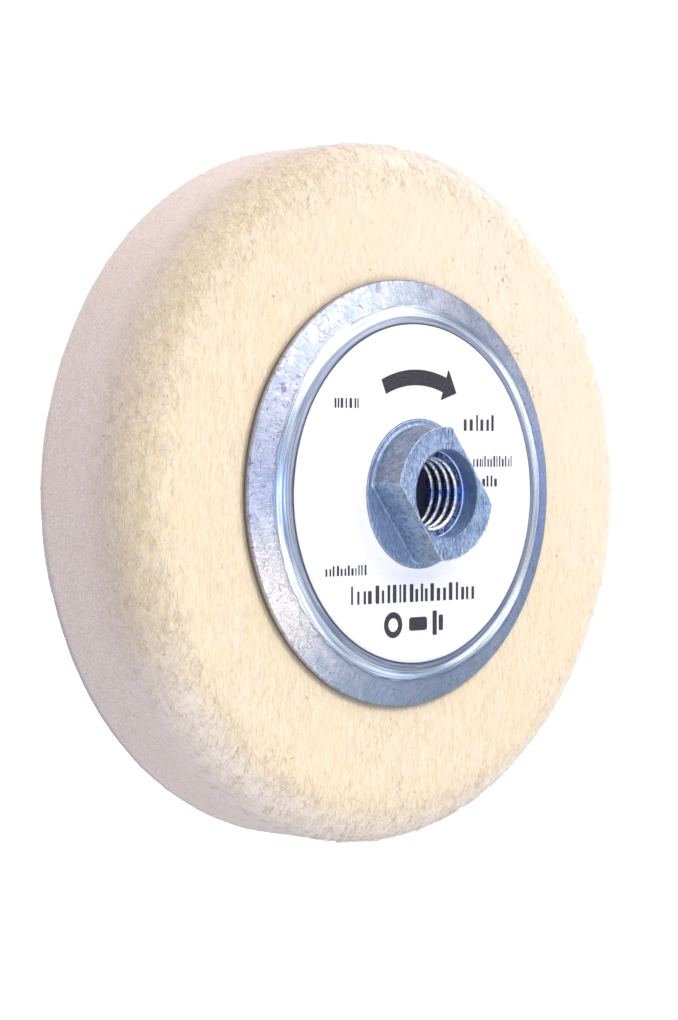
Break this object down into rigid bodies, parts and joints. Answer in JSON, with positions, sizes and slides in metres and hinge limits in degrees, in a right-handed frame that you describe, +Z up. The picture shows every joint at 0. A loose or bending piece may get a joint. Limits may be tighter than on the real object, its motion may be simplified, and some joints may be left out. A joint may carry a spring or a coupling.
{
  "type": "felt polishing wheel",
  "caption": "Felt polishing wheel: thick wool felt disc with a rounded shoulder, bonded to a zinc flange whose hub has spanner flats and an internal spindle thread.",
  "frame": {"origin": "on the spin axis, at the hub's front face, which seats against the shoulder of the grinder's spindle", "axes": "the spin axis is Y: the hub faces -Y and the felt's working face is towards +Y; +Z is up, with the wheel on edge and the label upright"},
  "size_m": [0.125, 0.0366, 0.125],
  "materials": {
    "felt": "dense wool felt, matt, with raised fibres",
    "zinc": "zinc die-casting with a mottled cast skin, a lathe-turned band and a bright cut thread",
    "label_paper": "smooth white printed label",
    "adhesive": "dried contact adhesive"
  },
  "bodies": {
    "root": {"felt_disc": "felt", "carrier_flange": "zinc", "label": "label_paper", "adhesive_film": "adhesive"}
  },
  "joints": []
}
